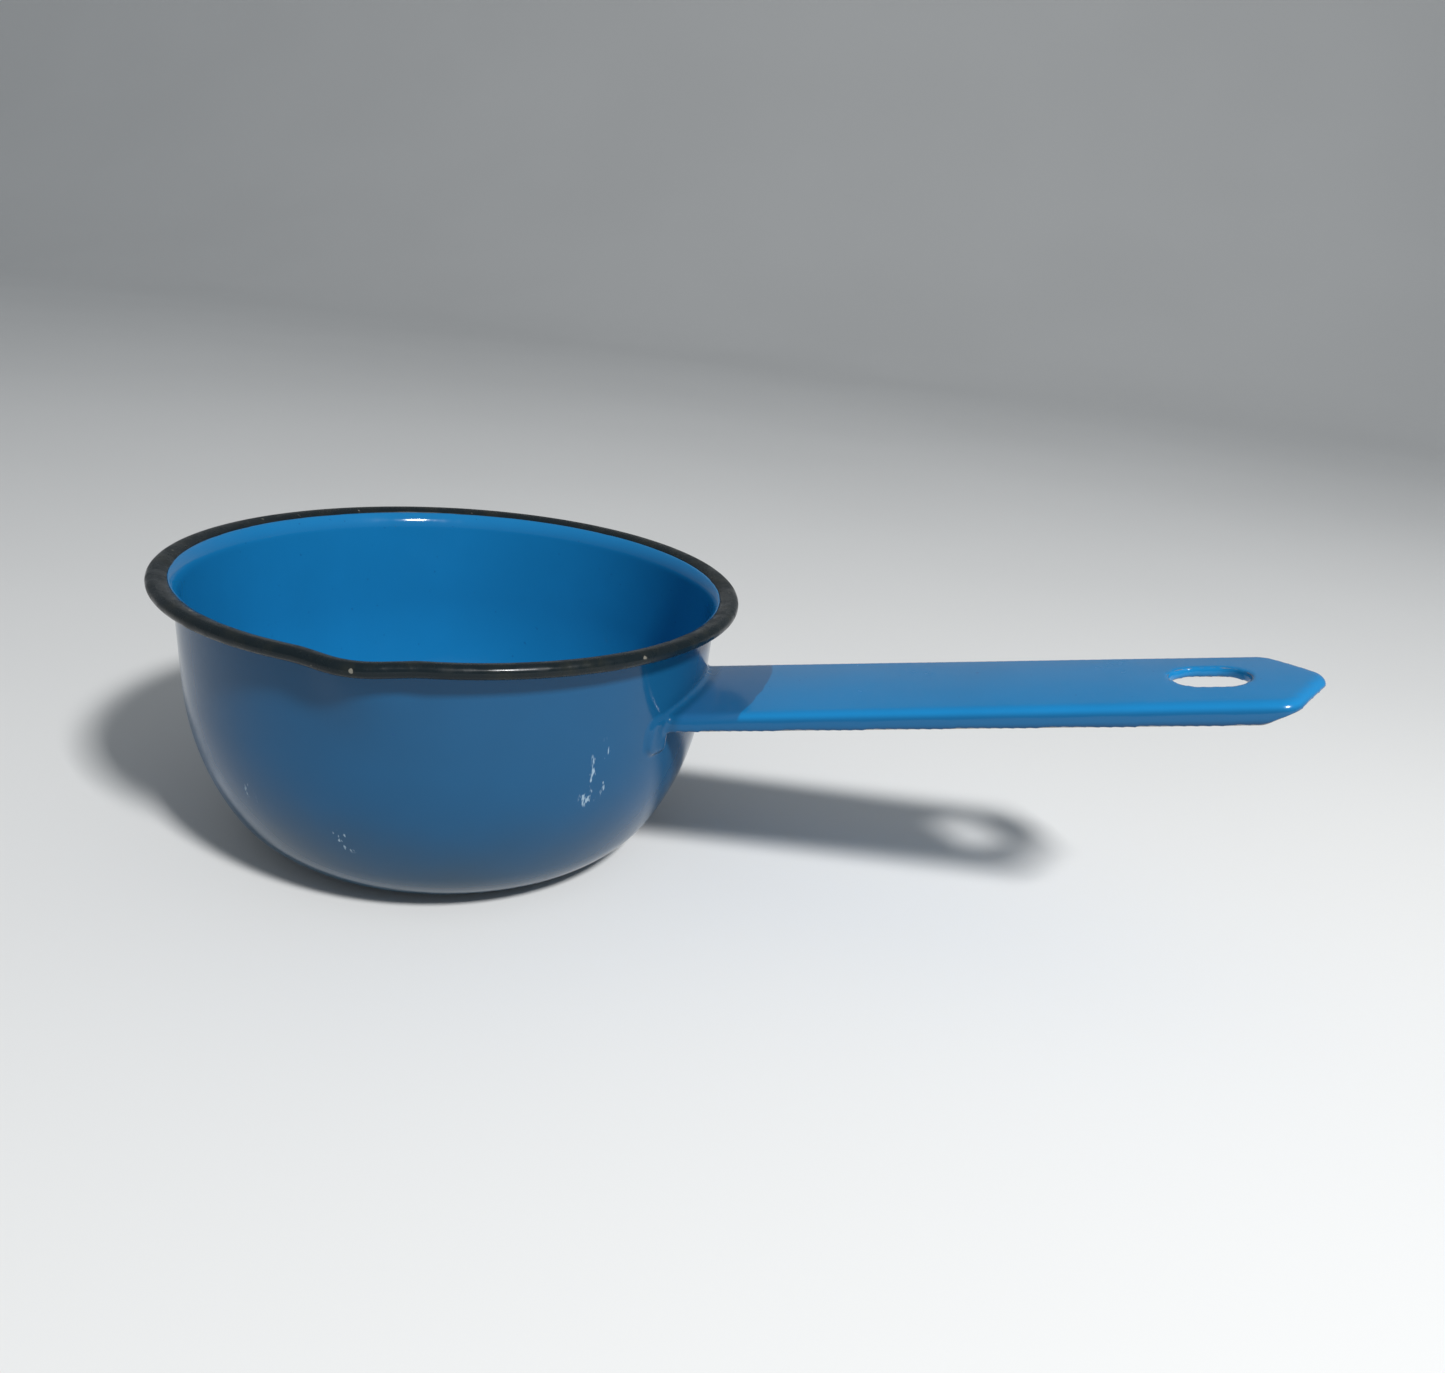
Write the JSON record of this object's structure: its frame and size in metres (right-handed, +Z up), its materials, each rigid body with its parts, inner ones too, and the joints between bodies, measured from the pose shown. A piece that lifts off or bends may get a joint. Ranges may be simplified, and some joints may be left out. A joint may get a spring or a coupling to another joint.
{
  "type": "milk pan",
  "caption": "Round-bottomed enamelled steel milk pan with a rolled rim, a pouring lip and a straight channel handle with a hanging slot.",
  "frame": {"origin": "centre of the flat base, on its underside", "axes": "+Z up out of the mouth, +X along the handle, the pouring lip near -Y"},
  "size_m": [0.2529, 0.1323, 0.0716],
  "materials": {
    "bowl_steel": "satin",
    "handle_steel": "satin",
    "weld": "satin",
    "blue_inside": "gloss",
    "blue_outside": "gloss",
    "black_rim": "satin",
    "blue_handle": "gloss"
  },
  "bodies": {
    "root": {"bowl_steel": "bowl_steel", "inside_enamel": "blue_inside", "outside_enamel": "blue_outside", "rim_enamel": "black_rim", "handle_steel": "handle_steel", "handle_enamel": "blue_handle", "weld_lip_side": "weld", "weld_far_side": "weld"}
  },
  "joints": []
}
